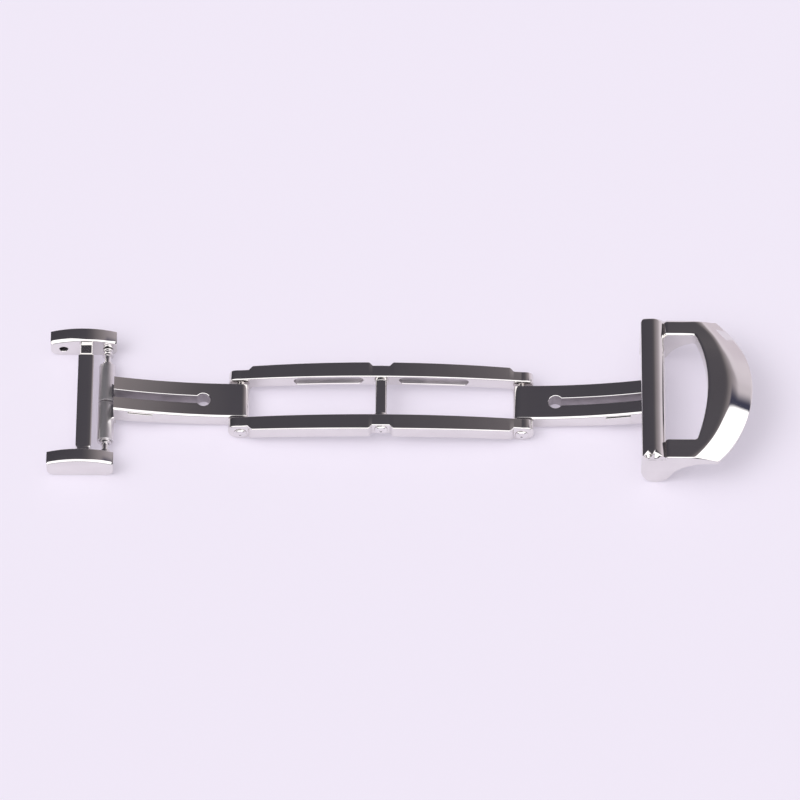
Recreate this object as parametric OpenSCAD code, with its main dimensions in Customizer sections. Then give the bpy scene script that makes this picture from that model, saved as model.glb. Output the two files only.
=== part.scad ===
// Double-fold deployant clasp for a watch strap, lying open on its underside.
// X runs along the strap, Y across it and Z up. The origin is on the ground,
// under the middle of the whole clasp.

/* [Link] */
// Distance between the two hinge pins
hinge_pitch = 32.8; // [30:0.2:38]
// Width across both rails at the middle
link_w = 8.84; // [7.5:0.02:10]
// Width of one rail at the middle
rail_w = 1.92; // [1.6:0.02:2]
// How far the rails' outer faces draw in from the middle to the hinge pins
rail_bow = 0.2; // [0.05:0.01:0.3]
// Height of the rails at the crown of their arch
crown_z = 3.75; // [3.6:0.05:4.4]
// Depth of a rail at its crown
rail_h = 2; // [1.8:0.1:2.3]
// Depth of a rail where it meets its rounded end
rail_end_h = 2; // [1.7:0.1:2.2]
// Radius of a rail's rounded end
rail_end_r = 1.4; // [1.35:0.05:1.5]
// Depth of the recesses that take the pin heads
recess_depth = 0.45; // [0.35:0.05:0.6]
// Length of the recess at the middle
mid_recess_l = 2; // [1.8:0.1:3]
// Length of the recess at each end, inboard of the pin
end_recess_l = 0.9; // [0.9:0.1:2]
// Distance from the middle to a catch groove
groove_start = 2.1; // [1.6:0.1:2.8]
// Length of a catch groove
groove_l = 8.1; // [7.5:0.1:9]
// Height of a catch groove
groove_h = 1.35; // [0.8:0.05:1.4]
// Height of rail left above a catch groove
groove_cover = 0.3; // [0.2:0.05:0.5]
// Depth of a catch groove into the rail
groove_depth = 0.35; // [0.2:0.05:0.6]
// Bevel along the rails' upper edges
rail_bevel = 0.12; // [0.05:0.01:0.2]
// Width of the cross bar
cross_w = 1.3; // [1.2:0.05:1.6]
// Depth of the cross bar
cross_h = 1.3; // [1.2:0.05:1.6]
// Diameter of the collars at the cross bar's ends
cross_collar_d = 1.7; // [1.5:0.05:1.9]
// Length of a collar
cross_collar_l = 0.35; // [0.2:0.05:0.6]

/* [Pins] */
// Height of the hinge pins' axes
pin_z = 1.3; // [1.2:0.05:1.4]
// Diameter of the hinge pins and the middle pin
pin_d = 1; // [0.8:0.05:1.1]
// Diameter of a pin's head
pin_head_d = 1.56; // [1.3:0.02:1.7]
// How far a pin's head stands out of its recess
pin_head_h = 0.3; // [0.2:0.05:0.4]
// Diameter of the dimple in a pin's head
pin_dimple_d = 0.6; // [0.4:0.05:0.8]

/* [Blades] */
// Left blade, from its hinge pin to its spring bar
left_blade_l = 15.7; // [15:0.1:15.8]
// Right blade, from its hinge pin to its spring bar
right_blade_l = 15.3; // [15:0.1:15.4]
// Play of a blade at each side, between the rails
blade_play = 0.3; // [0.26:0.01:0.4]
// Radius of the knuckle around the hinge pin
knuckle_r = 1; // [0.9:0.05:1.1]
// Climb of a blade's top between the hinge and its end
blade_rise = 1.65; // [1.4:0.05:1.8]
// Depth of a blade at its spring-bar end
blade_end_h = 2.6; // [2.2:0.1:2.8]
// Distance from a blade's end to the spring bar's axis
blade_end_gap = 0.95; // [0.9:0.01:1.05]
// Bevel along a blade's upper edges
blade_bevel = 0.22; // [0.1:0.01:0.3]
// Diameter of the keyhole
keyhole_d = 1.67; // [1.3:0.01:2]
// Distance from the keyhole to the spring bar's axis
keyhole_back = 11.35; // [9:0.05:12]
// Width of the slit that makes the blade's two tines springy
slit_w = 0.95; // [0.5:0.05:1.2]
// Distance from the slit's wide end to the spring bar's axis
slit_back = 0.75; // [0.7:0.05:1.2]
// Width of the slit where it runs on through the barrel
barrel_slit_w = 0.2; // [0.1:0.05:0.4]
// Distance from a catch pad to the spring bar's axis
pad_back = 2.6; // [2.3:0.1:3.4]
// Length of a catch pad
pad_l = 2.9; // [2:0.1:4]
// How far a catch pad stands out of the blade's side
pad_proud = 0.2; // [0.05:0.01:0.22]
// Height of blade left above and below a catch pad
pad_margin = 0.35; // [0.2:0.05:0.5]
// Outer diameter of the barrel around the spring bar
barrel_d = 1.94; // [1.8:0.02:2]
// Length of the barrel
barrel_l = 10; // [8:0.1:10]
// Height of the spring bars' axes
barrel_z = 1.2; // [1.1:0.05:1.3]
// Radius of the fillets between blade and barrel
barrel_fillet = 0.9; // [0.5:0.1:1.2]
// Distance from the fillets' wide end to the spring bar's axis
fillet_back = 0.3; // [0.2:0.05:0.5]
// Depth of the neck that carries the fillets
neck_h = 1.5; // [1.2:0.1:1.7]

/* [Spring bars] */
// Outer diameter of a spring bar's tube
tube_d = 1.3; // [1.26:0.02:1.36]
// Inner diameter of the tube
tube_bore = 1; // [0.98:0.02:1.06]
// Diameter of a tip's pin, which enters the side wall
tip_d = 0.8; // [0.6:0.02:0.84]
// Length of a tip's pin inside the wall
tip_reach = 0.8; // [0.5:0.05:0.85]
// Thickness of each of a tip's two flanges
flange_t = 0.25; // [0.15:0.05:0.3]
// Width of the tool groove between the flanges
flange_gap = 0.3; // [0.2:0.05:0.35]
// Travel of a tip when it is pressed in
tip_travel = 0.9; // [0.8:0.05:0.95]
// Diameter of the coil spring's wire
wire_d = 0.14; // [0.1:0.01:0.16]
// Turns of the coil spring
coil_turns = 14; // [10:1:15]

/* [Strap bracket] */
// Gap between the cheeks, which takes the strap
bracket_gap = 14.4; // [14:0.1:18]
// Thickness of a cheek
cheek_t = 1.65; // [1.4:0.05:2.2]
// Length of a cheek
cheek_l = 7.75; // [7.4:0.05:9]
// Distance from the spring bar's axis to the cheek's inboard end
cheek_ahead = 1.05; // [0.95:0.05:1.1]
// Height of a cheek at its crown
cheek_h = 3.55; // [3.3:0.05:4]
// Radius of a cheek's arched top
cheek_crown_r = 9.5; // [8:0.5:14]
// Radius of a cheek's lower corners
cheek_foot_r = 1; // [0.5:0.05:1.2]
// Bevel along a cheek's arched top
cheek_bevel = 0.3; // [0.1:0.02:0.4]
// Diameter of the holes for the strap's own spring bar
strap_hole_d = 1.05; // [0.8:0.01:1.2]
// Height of the strap's spring bar
strap_hole_z = 1.4; // [1.2:0.05:1.8]
// Distance from the strap's spring bar to the clasp's spring bar
strap_hole_back = 5.2; // [4.8:0.05:5.6]
// Depth of every spring-bar hole
hole_depth = 1; // [0.9:0.05:1.2]
// Distance from the stay's middle to the clasp's spring bar
stay_back = 2.5; // [2.45:0.01:2.7]
// Width of the stay between the cheeks
stay_w = 1.8; // [1.6:0.05:1.9]
// Depth of the stay
stay_h = 1.35; // [1.1:0.05:1.4]
// Height of the stay's flat top
stay_top_z = 2.25; // [2.2:0.05:2.5]
// Length of the narrower neck at each end of the stay
stay_neck_l = 1; // [0.6:0.1:2]
// Width of the neck
stay_neck_w = 1.4; // [1.1:0.05:1.6]
// Bevel along the stay's edges
stay_bevel = 0.2; // [0.1:0.02:0.3]
// Diameter of the stay's tenons
tenon_d = 0.9; // [0.7:0.05:1]
// Depth of the holes that take the tenons
tenon_l = 0.8; // [0.5:0.05:1]

/* [Buckle] */
// Width of the buckle
buckle_w = 18.5; // [17.8:0.1:22]
// Gap between the buckle's side walls, which takes the strap
buckle_gap = 13.9; // [13.4:0.1:14.2]
// Distance from the spring bar's axis to the buckle's inboard face
head_ahead = 1.45; // [1.4:0.05:1.5]
// Width of the head bar
head_w = 2.65; // [2.5:0.05:2.8]
// Height of the head bar's top
head_z = 6.25; // [6.1:0.05:6.6]
// Depth of the head bar
head_h = 1.95; // [1.5:0.05:2]
// Radius of the head bar's crowned top
head_crown_r = 5; // [3.5:0.1:8]
// Radius of the head bar's rounded edges
head_corner_r = 0.4; // [0.2:0.05:0.6]
// Bevel at the head bar's ends
head_bevel = 0.45; // [0.2:0.05:0.6]
// Height of the valley between the head bar and the legs
valley_z = 5.2; // [4.9:0.1:5.5]
// Distance from the spring bar's axis to the far end of the loop
loop_reach = 11.7; // [11:0.1:13]
// Radius of the loop's outer curve, seen from above
loop_r = 12; // [11.5:0.1:14]
// Distance from the spring bar's axis to the strap opening
opening_start = 1.5; // [1.4:0.05:2]
// Length of the strap opening at its middle
opening_l = 4.7; // [4.5:0.1:5.2]
// Bow of the opening's far edge
opening_bow = 1.3; // [0.5:0.1:2]
// Radius of the opening's corners
opening_corner_r = 0.5; // [0.3:0.05:1]
// Height of the loop at the crown of its dome
loop_z = 7.5; // [7.1:0.1:8]
// Height of the loop's legs
leg_z = 6; // [5.8:0.05:6.2]
// Depth of the loop at its crown
loop_h = 2.1; // [1.7:0.1:2.4]
// Radius of the dome along the strap's width
dome_r = 19; // [17:0.5:24]
// Height of the legs' underside
leg_under_z = 4.4; // [4.2:0.05:4.6]
// Distance that the facet around the loop takes from its top
facet_w = 2.6; // [1.8:0.1:2.8]
// Height that the facet around the loop drops
facet_drop = 1.2; // [0.9:0.05:1.4]
// Radius of the facet's upper rim
facet_rim_r = 10.6; // [10:0.1:11.6]
// Angle by which the facet's rim rises with the dome
facet_lean = 23.6; // [20:0.2:26]
// Radius of the lobes that hold the spring bar
lobe_r = 1.72; // [1.65:0.01:1.9]
// Radius of the hollow sweep behind each lobe
sweep_r = 4.4; // [3.5:0.1:5]

/* [Clearances] */
// Radial clearance of parts that turn on each other
turn_gap = 0.04; // [0.02:0.01:0.05]
// Radial clearance of parts that are fixed together
snug_gap = 0.01; // [0.01:0.005:0.02]
// Clearance between a spring bar's flange and its wall
seat_gap = 0.1; // [0.05:0.01:0.15]
// Radial clearance of a tip's pin in its hole
hole_gap = 0.05; // [0.03:0.01:0.08]
// Clearance left at the end of a tip's travel
press_gap = 0.05; // [0.02:0.01:0.08]
// Clearance of the coil spring in its tube
spring_gap = 0.06; // [0.04:0.01:0.08]

/* [Hidden] */
$fn = 64;
ARC_FN = 480;       // steps of the long, shallow arcs
BOW_STEPS = 25;     // flats along a rail's bowed outer face
far = 60;           // longer than anything it cuts
steel = "Silver";
bright = "LightGray";
dark = "DimGray";

pin_x = hinge_pitch / 2;
pin_r = pin_d / 2;
rail_gap = link_w - 2 * rail_w;
mid_recess_y = link_w / 2 - recess_depth;
end_recess_y = mid_recess_y - rail_bow;

// Radius of an arc through a crown and a point rise lower and run away from it
function arc_radius(run, rise) = (run * run + rise * rise) / (2 * rise);

rail_under_z = crown_z - rail_h;
rail_top_r = arc_radius(pin_x, crown_z - 2 * rail_end_r);
rail_under_r = arc_radius(pin_x, rail_under_z - 2 * rail_end_r + rail_end_h);
middle_pin_z = crown_z - rail_h / 2;

blade_w = rail_gap - 2 * blade_play;
barrel_r = barrel_d / 2;
tube_r = tube_d / 2;
left_bar_x = -pin_x - left_blade_l;
right_bar_x = pin_x + right_blade_l;

collar_step = 0.12; // height of a tip's collar above its shank
tip_shank_r = tube_bore / 2 - collar_step;
lip_r = tip_shank_r + turn_gap;
lip_t = 0.3;        // length of the tube's crimped lip
collar_t = 0.3;     // thickness of the collar that the lip holds in
collar_play = 0.02; // play of the collar behind the lip
tip_taper = 0.15;   // length of the taper at the end of a tip's pin
neck_lap = 0.1;     // overlap of a blade's neck and its arm
head_l = 2 * flange_t + flange_gap;
tenon_r = tenon_d / 2;

cheek_crown_x = left_bar_x + cheek_ahead - cheek_l / 2;
head_x = right_bar_x - head_ahead + head_w / 2;
buckle_end_x = right_bar_x + loop_reach;
lobe_x = right_bar_x - head_ahead + lobe_r;
sweep_z = leg_under_z - sweep_r;
sweep_x = lobe_x + sqrt(pow(lobe_r + sweep_r, 2) - pow(lobe_r - sweep_z, 2));

// The clasp's middle, which the origin lies under
middle_x = (left_bar_x + cheek_ahead - cheek_l + buckle_end_x) / 2;

// A side view, x and z, given its width along Y
module side_view(w) rotate([90, 0, 0]) linear_extrude(w, center = true) children();

// A section, radius and y, turned about an axis along Y
module turned_about(x, z) translate([x, 0, z]) rotate([90, 0, 0])
    rotate_extrude($fn = ARC_FN) children();

// A rod along Y, centred on y
module rod(x, z, r, l, y = 0) translate([x, y, z]) rotate([90, 0, 0])
    cylinder(r = r, h = l, center = true);

module at_origin() translate([-middle_x, 0, 0]) children();

module front() mirror([0, 1, 0]) children();

// Side view of a rail: an arch with round ends around the hinge pins
module rail_outline() {
    difference() {
        intersection() {
            translate([0, crown_z - rail_top_r]) circle(r = rail_top_r, $fn = ARC_FN);
            translate([-pin_x, 0]) square([2 * pin_x, crown_z]);
        }
        translate([0, rail_under_z - rail_under_r]) circle(r = rail_under_r, $fn = ARC_FN);
    }
    for (side = [-1, 1]) translate([side * pin_x, rail_end_r]) circle(r = rail_end_r);
}

// Section of a rail with its upper edges bevelled, for turning about the arch's centre.
// Its outer side, at negative y here, runs on past the bowed face that bounds it
module rail_section() {
    top = rail_top_r;
    half = rail_w / 2;
    polygon([[top - far / 8, half], [top - rail_bevel, half], [top, half - rail_bevel],
        [top, rail_bevel - half], [top - 2 * rail_bevel, -rail_bevel - half],
        [top - far / 8, -rail_bevel - half]]);
}

// Everything within the bowed outer face of the rail on the +Y side
module within_bow() {
    reach = pin_x + 2 * rail_end_r;
    linear_extrude(far, center = true) polygon([[-reach, 0], each [for (i = [0 : BOW_STEPS])
        let (x = reach * (2 * i / BOW_STEPS - 1)) [x, link_w / 2 - rail_bow * pow(x / pin_x, 2)]],
        [reach, 0]]);
}

// A catch groove follows the arch, and its ends are round
module groove_outline() {
    mid_r = rail_top_r - groove_cover - groove_h / 2;
    for (side = [-1, 1], end = [groove_start + groove_h / 2, groove_start + groove_l - groove_h / 2])
        rotate(-side * asin(end / mid_r)) translate([0, mid_r]) circle(d = groove_h);
    intersection() {
        difference() {
            circle(r = mid_r + groove_h / 2, $fn = ARC_FN);
            circle(r = mid_r - groove_h / 2, $fn = ARC_FN);
        }
        for (side = [-1, 1])
            translate([side * (groove_start + groove_l / 2), mid_r])
                square([groove_l - groove_h, 4 * groove_h], center = true);
    }
}

// A recess seen from above, its floor at floor_y, with slanted ends
module recess_plan(x0, x1, floor_y) {
    slant = recess_depth / 2;
    polygon([[x0, floor_y], [x1, floor_y], [x1 + 2 * slant, floor_y + 2 * recess_depth],
        [x0 - 2 * slant, floor_y + 2 * recess_depth]]);
}

// The rail on the +Y side
module rail() {
    difference() {
        intersection() {
            translate([0, rail_gap / 2 + rail_w, 0]) side_view(2 * rail_w) rail_outline();
            translate([0, rail_gap / 2 + rail_w / 2, 0])
                turned_about(0, crown_z - rail_top_r) rail_section();
            within_bow();
        }
        linear_extrude(far, center = true) {
            recess_plan(-mid_recess_l / 2, mid_recess_l / 2, mid_recess_y);
            for (side = [0, 1]) mirror([side, 0, 0])
                recess_plan(pin_x - end_recess_l, pin_x + 2 * rail_end_r, end_recess_y);
        }
        for (x = [-pin_x, pin_x]) rod(x, pin_z, pin_r + snug_gap, 2 * link_w);
        rod(0, middle_pin_z, pin_r + snug_gap, 2 * link_w);
        translate([0, rail_gap / 2, crown_z - rail_top_r]) side_view(2 * groove_depth) groove_outline();
    }
}

// The spacer between the rails, drilled for the middle pin, with a collar at each end
module spacer() {
    difference() {
        union() {
            side_view(rail_gap - 2 * snug_gap)
                translate([0, middle_pin_z]) square([cross_w, cross_h], center = true);
            for (side = [-1, 1])
                rod(0, middle_pin_z, cross_collar_d / 2, cross_collar_l,
                    side * (rail_gap / 2 - snug_gap - cross_collar_l / 2));
        }
        rod(0, middle_pin_z, pin_r + snug_gap, 2 * link_w);
    }
}

// A riveted pin with a domed, dimpled head on the recess floor, floor_y, at each end
module headed_pin(x, z, floor_y) {
    head_r = pin_head_d / 2;
    rim = pin_head_h / 3;
    seat = floor_y + snug_gap;
    translate([x, 0, z]) for (side = [0, 1]) mirror([0, side, 0]) rotate([-90, 0, 0])
        rotate_extrude() polygon([[0, 0], [pin_r, 0], [pin_r, seat], [head_r, seat],
            [head_r, floor_y + rim], [head_r * 0.8, floor_y + pin_head_h * 0.85],
            [pin_dimple_d / 2, floor_y + pin_head_h], [0, floor_y + pin_head_h * 0.6]]);
}

// Side view of a blade's arm, u outward from the hinge: its top is hollow, its underside bellied
module arm_outline(l) {
    body_l = l - blade_end_gap;
    top_r = arc_radius(body_l, blade_rise);
    under_r = arc_radius(body_l, blade_rise + 2 * knuckle_r - blade_end_h);
    difference() {
        intersection() {
            translate([0, -knuckle_r]) square([body_l, far]);
            translate([0, under_r - knuckle_r]) circle(r = under_r, $fn = ARC_FN);
        }
        translate([0, top_r + knuckle_r]) circle(r = top_r, $fn = ARC_FN);
    }
}

// Section of a blade's arm with its upper edges bevelled, for turning about the top's centre
module arm_section(l) {
    top = arc_radius(l - blade_end_gap, blade_rise);
    half = blade_w / 2;
    polygon([[top, blade_bevel - half], [top, half - blade_bevel], [top + blade_bevel, half],
        [top + far / 6, half], [top + far / 6, -half], [top + blade_bevel, -half]]);
}

// A blade that points along +X from its hinge pin at the origin of u
module blade(l) {
    axis_v = barrel_z - pin_z;
    top_r = arc_radius(l - blade_end_gap, blade_rise);
    neck_start = l - barrel_r - neck_lap;
    difference() {
        union() {
            intersection() {
                side_view(blade_w) arm_outline(l);
                turned_about(0, top_r + knuckle_r) arm_section(l);
            }
            rod(0, 0, knuckle_r, blade_w);
            rod(l, axis_v, barrel_r, barrel_l);
            // Neck into the barrel, flared by a fillet at each side
            translate([0, 0, axis_v]) linear_extrude(neck_h, center = true) difference() {
                translate([neck_start, -blade_w / 2 - barrel_fillet])
                    square([l - neck_start, blade_w + 2 * barrel_fillet]);
                for (side = [-1, 1], back = [0, far / 2])
                    translate([l - fillet_back - barrel_fillet - back,
                        side * (blade_w / 2 + barrel_fillet)])
                        if (back == 0) circle(r = barrel_fillet);
                        else square([far, 2 * barrel_fillet], center = true);
            }
            // Catch pads, a little inside the arm's outline
            side_view(blade_w + 2 * pad_proud) intersection() {
                offset_arm(l, pad_margin);
                translate([l - pad_back - pad_l, -2 * knuckle_r]) square([pad_l, far]);
            }
        }
        rod(0, 0, pin_r + turn_gap, 2 * blade_w);
        rod(l, axis_v, tube_r + turn_gap, 2 * barrel_l);
        translate([l - keyhole_back, 0, 0]) cylinder(d = keyhole_d, h = far, center = true);
        translate([l - keyhole_back, -slit_w / 2, -far / 2])
            cube([keyhole_back - slit_back, slit_w, far]);
        translate([l - keyhole_back, -barrel_slit_w / 2, -far / 2]) cube([far, barrel_slit_w, far]);
    }
}

// The arm's side view drawn in from its top and underside by a margin
module offset_arm(l, margin) {
    intersection() {
        translate([0, margin]) arm_outline(l);
        translate([0, -margin]) arm_outline(l);
    }
}

// Tube of a spring bar between two walls that stand gap apart, its ends crimped to a lip
module bar_tube(x, gap) {
    half = tube_end(gap);
    translate([x, 0, barrel_z]) rotate([90, 0, 0]) difference() {
        cylinder(r = tube_r, h = 2 * half, center = true);
        cylinder(r = tube_bore / 2, h = 2 * (half - lip_t), center = true);
        cylinder(r = lip_r, h = 3 * half, center = true);
    }
}

function tube_end(gap) = gap / 2 - seat_gap - head_l - tip_travel - press_gap;

// The sprung tip on the +Y side: pin, two flanges with a tool groove, shank and collar
module bar_tip(x, gap) {
    out = gap / 2 - seat_gap;
    tip_r = tip_d / 2;
    collar_r = tube_bore / 2 - turn_gap;
    collar_y = tube_end(gap) - lip_t - collar_play;
    groove_r = (tube_r + tip_r) / 2;
    end = gap / 2 + tip_reach;
    translate([x, 0, barrel_z]) rotate([-90, 0, 0]) rotate_extrude() polygon([
        [0, collar_y - collar_t], [collar_r, collar_y - collar_t], [collar_r, collar_y],
        [tip_shank_r, collar_y], [tip_shank_r, out - head_l], [tube_r, out - head_l],
        [tube_r, out - head_l + flange_t], [groove_r, out - head_l + flange_t],
        [groove_r, out - flange_t], [tube_r, out - flange_t], [tube_r, out],
        [tip_r, out], [tip_r, end - tip_taper], [tip_r - tip_taper, end], [0, end]]);
}

// Coil spring between the collars: a ring of points swept along a helix about Y
module bar_spring(x, gap) {
    half = tube_end(gap) - lip_t - collar_t - spring_gap - wire_d / 2;
    mean_r = tube_bore / 2 - wire_d / 2 - spring_gap;
    sides = 6;
    turn_steps = 12;
    steps = coil_turns * turn_steps;
    points = [for (i = [0 : steps]) let (a = 360 * i / turn_steps, y = half * (2 * i / steps - 1))
        for (k = [0 : sides - 1]) let (b = 360 * k / sides, r = mean_r + wire_d / 2 * cos(b))
            [r * cos(a), y + wire_d / 2 * sin(b), r * sin(a)]];
    walls = [for (i = [0 : steps - 1], k = [0 : sides - 1])
        let (a = i * sides + k, b = i * sides + (k + 1) % sides)
            each [[a, b, a + sides], [b, b + sides, a + sides]]];
    caps = [[for (k = [sides - 1 : -1 : 0]) k], [for (k = [0 : sides - 1]) steps * sides + k]];
    translate([x, 0, barrel_z]) polyhedron(points, concat(walls, caps));
}

// Side view of a cheek: an arched top, flat foot and rounded lower corners
module cheek_outline() {
    x0 = cheek_crown_x - cheek_l / 2;
    intersection() {
        translate([cheek_crown_x, cheek_h - cheek_crown_r]) circle(r = cheek_crown_r, $fn = ARC_FN);
        union() {
            translate([x0, cheek_foot_r]) square([cheek_l, cheek_h]);
            translate([x0 + cheek_foot_r, 0]) square([cheek_l - 2 * cheek_foot_r, cheek_h]);
            for (x = [x0 + cheek_foot_r, x0 + cheek_l - cheek_foot_r])
                translate([x, cheek_foot_r]) circle(r = cheek_foot_r);
        }
    }
}

// The cheek on the +Y side, its holes blind and open to the gap
module cheek() {
    half = cheek_t / 2;
    top = cheek_crown_r;
    difference() {
        translate([0, bracket_gap / 2 + half, 0]) intersection() {
            side_view(cheek_t) cheek_outline();
            turned_about(cheek_crown_x, cheek_h - top) polygon([[0, -half], [top - cheek_bevel, -half],
                [top, cheek_bevel - half], [top, half - cheek_bevel], [top - cheek_bevel, half], [0, half]]);
        }
        rod(left_bar_x, barrel_z, tip_d / 2 + hole_gap, 2 * hole_depth, bracket_gap / 2);
        rod(left_bar_x - strap_hole_back, strap_hole_z, strap_hole_d / 2, 2 * hole_depth, bracket_gap / 2);
        rod(left_bar_x - stay_back, stay_top_z - stay_h / 2, tenon_r + snug_gap, 2 * tenon_l, bracket_gap / 2);
    }
}

// The flat bar that ties the cheeks, with a narrower neck and a tenon at each end
module stay() {
    body_l = bracket_gap - 2 * stay_neck_l;
    mid_z = stay_top_z - stay_h / 2;
    translate([left_bar_x - stay_back, 0, 0]) {
        side_view(body_l) stay_section(stay_w, stay_h, mid_z);
        side_view(bracket_gap - 2 * snug_gap)
            stay_section(stay_neck_w, stay_h - stay_bevel, mid_z - stay_bevel / 2);
        rod(0, mid_z, tenon_r, bracket_gap + 2 * (tenon_l - hole_gap));
    }
}

module stay_section(w, h, z) {
    polygon([for (p = [[-1, -1], [1, -1], [1, 1], [-1, 1]], swap = [0, 1])
        let (first = (p[0] * p[1] > 0) != (swap == 1))
            [p[0] * (w / 2 - (first ? 0 : stay_bevel)), z + p[1] * (h / 2 - (first ? stay_bevel : 0))]]);
}

// Side view of the buckle's walls: a lobe around the spring bar, then a hollow sweep to the leg
module wall_outline() {
    front_x = right_bar_x - head_ahead;
    translate([lobe_x, lobe_r]) circle(r = lobe_r);
    translate([front_x, lobe_r]) square([2 * lobe_r, valley_z - lobe_r]);
    difference() {
        polygon([[lobe_x, lobe_r], [sweep_x, sweep_z], [sweep_x, leg_under_z],
            [buckle_end_x, leg_under_z], [buckle_end_x, leg_z], [right_bar_x + opening_start, leg_z],
            [right_bar_x + opening_start, valley_z], [lobe_x, valley_z]]);
        translate([sweep_x, sweep_z]) circle(r = sweep_r, $fn = 120);
    }
}

// The buckle's outer curve seen from above
module loop_plan() {
    intersection() {
        translate([buckle_end_x - loop_r, 0]) circle(r = loop_r, $fn = ARC_FN);
        translate([right_bar_x + opening_start, -buckle_w / 2]) square([far, buckle_w]);
    }
}

// The strap opening seen from above: square to the head bar, bowed at the far edge
module opening_plan() {
    start = right_bar_x + opening_start;
    half = buckle_gap / 2;
    bow_r = arc_radius(half, opening_bow);
    bow_x = start + opening_l - bow_r;
    corner_y = half - opening_corner_r;
    corner_x = bow_x + sqrt(pow(bow_r - opening_corner_r, 2) - corner_y * corner_y);
    difference() {
        intersection() {
            translate([bow_x, 0]) circle(r = bow_r, $fn = ARC_FN);
            translate([start, -half]) square([far, buckle_gap]);
        }
        for (side = [0, 1]) mirror([0, side]) difference() {
            translate([corner_x, corner_y]) square(far);
            translate([corner_x, corner_y]) circle(r = opening_corner_r);
        }
    }
}

// The facet around the loop: a cone whose axis leans, so that its rim rises with the dome
module facet_cone() {
    crest_x = buckle_end_x - facet_w;
    rim_r = facet_rim_r;
    run = facet_w * cos(facet_lean) - facet_drop * sin(facet_lean);
    fall = facet_w * sin(facet_lean) + facet_drop * cos(facet_lean);
    below = 4 * fall;
    above = 2 * fall;
    translate([crest_x, 0, loop_z]) rotate([0, -facet_lean, 0]) translate([-rim_r, 0, -below])
        cylinder(r1 = rim_r + run * below / fall, r2 = rim_r - run * above / fall, h = below + above,
            $fn = ARC_FN);
}

// The domed loop, above its underside and within the facet
module loop() {
    under_crown = loop_z - loop_h;
    under_r = arc_radius(buckle_gap / 2, under_crown - leg_under_z);
    intersection() {
        translate([0, 0, leg_under_z]) linear_extrude(loop_z) difference() {
            loop_plan();
            opening_plan();
        }
        facet_cone();
        difference() {
            union() {
                translate([0, 0, loop_z - dome_r]) rotate([0, 90, 0])
                    cylinder(r = dome_r, h = 2 * far, $fn = ARC_FN);
                translate([0, -buckle_w, 0]) cube([far, 2 * buckle_w, leg_z]);
            }
            translate([0, 0, under_crown - under_r]) rotate([0, 90, 0])
                cylinder(r = under_r, h = 2 * far, $fn = ARC_FN);
        }
    }
}

// Section of the head bar: a crowned top between two rounded edges, flat below
module head_section() {
    corner_x = head_w / 2 - head_corner_r;
    corner_z = head_z - head_crown_r + sqrt(pow(head_crown_r - head_corner_r, 2) - corner_x * corner_x);
    touch_x = corner_x * head_crown_r / (head_crown_r - head_corner_r);
    for (side = [-1, 1]) translate([side * corner_x, corner_z]) circle(r = head_corner_r);
    translate([-head_w / 2, head_z - head_h]) square([head_w, corner_z - head_z + head_h]);
    intersection() {
        translate([0, head_z - head_crown_r]) circle(r = head_crown_r, $fn = ARC_FN);
        translate([-touch_x, head_z - head_h]) square([2 * touch_x, 2 * head_h]);
    }
}

// The head bar, whose underside clears the blade, with bevels at its ends
module head_bar() {
    half = buckle_w / 2;
    intersection() {
        translate([head_x, 0, 0]) side_view(2 * buckle_w) head_section();
        linear_extrude(far) wall_front_plan();
        rotate([90, 0, 90]) linear_extrude(far) polygon([[-half - head_bevel, 0],
            [-half - head_bevel, head_z - 2 * head_bevel], [2 * head_bevel - half, head_z + head_bevel],
            [half - 2 * head_bevel, head_z + head_bevel], [half + head_bevel, head_z - 2 * head_bevel],
            [half + head_bevel, 0]]);
    }
}

// The walls' front seen from above, its outer corners bevelled like the head bar's ends
module wall_front_plan() {
    x0 = right_bar_x - head_ahead;
    x1 = right_bar_x + opening_start;
    half = buckle_w / 2;
    polygon([[x0, head_bevel - half], [x0 + head_bevel, -half], [x1, -half], [x1, half],
        [x0 + head_bevel, half], [x0, half - head_bevel]]);
}

module buckle() {
    wall_t = (buckle_w - buckle_gap) / 2;
    difference() {
        union() {
            head_bar();
            loop();
            for (side = [-1, 1]) translate([0, side * (buckle_gap + wall_t) / 2, 0])
                intersection() {
                    side_view(wall_t) wall_outline();
                    translate([0, -side * (buckle_gap + wall_t) / 2, 0]) union() {
                        linear_extrude(far) wall_front_plan();
                        intersection() {
                            linear_extrude(far) loop_plan();
                            facet_cone();
                        }
                    }
                }
        }
        rod(right_bar_x, barrel_z, tip_d / 2 + hole_gap, buckle_gap + 2 * hole_depth);
    }
}

module rail_front() color(steel) at_origin() front() rail();
module rail_back() color(steel) at_origin() rail();
module cross_bar() color(dark) at_origin() spacer();
module middle_pin() color(bright) at_origin() headed_pin(0, middle_pin_z, mid_recess_y);
module left_hinge_pin() color(bright) at_origin() headed_pin(-pin_x, pin_z, end_recess_y);
module right_hinge_pin() color(bright) at_origin() headed_pin(pin_x, pin_z, end_recess_y);
module left_blade() color(steel) at_origin()
    mirror([1, 0, 0]) translate([pin_x, 0, pin_z]) blade(left_blade_l);
module right_blade() color(steel) at_origin() translate([pin_x, 0, pin_z]) blade(right_blade_l);
module cheek_front() color(steel) at_origin() front() cheek();
module cheek_back() color(steel) at_origin() cheek();
module bracket_stay() color(dark) at_origin() stay();
module buckle_frame() color(steel) at_origin() buckle();
module left_bar_tube() color(bright) at_origin() bar_tube(left_bar_x, bracket_gap);
module left_bar_spring() color(dark) at_origin() bar_spring(left_bar_x, bracket_gap);
module left_bar_tip_front() color(bright) at_origin() front() bar_tip(left_bar_x, bracket_gap);
module left_bar_tip_back() color(bright) at_origin() bar_tip(left_bar_x, bracket_gap);
module right_bar_tube() color(bright) at_origin() bar_tube(right_bar_x, buckle_gap);
module right_bar_spring() color(dark) at_origin() bar_spring(right_bar_x, buckle_gap);
module right_bar_tip_front() color(bright) at_origin() front() bar_tip(right_bar_x, buckle_gap);
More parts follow.
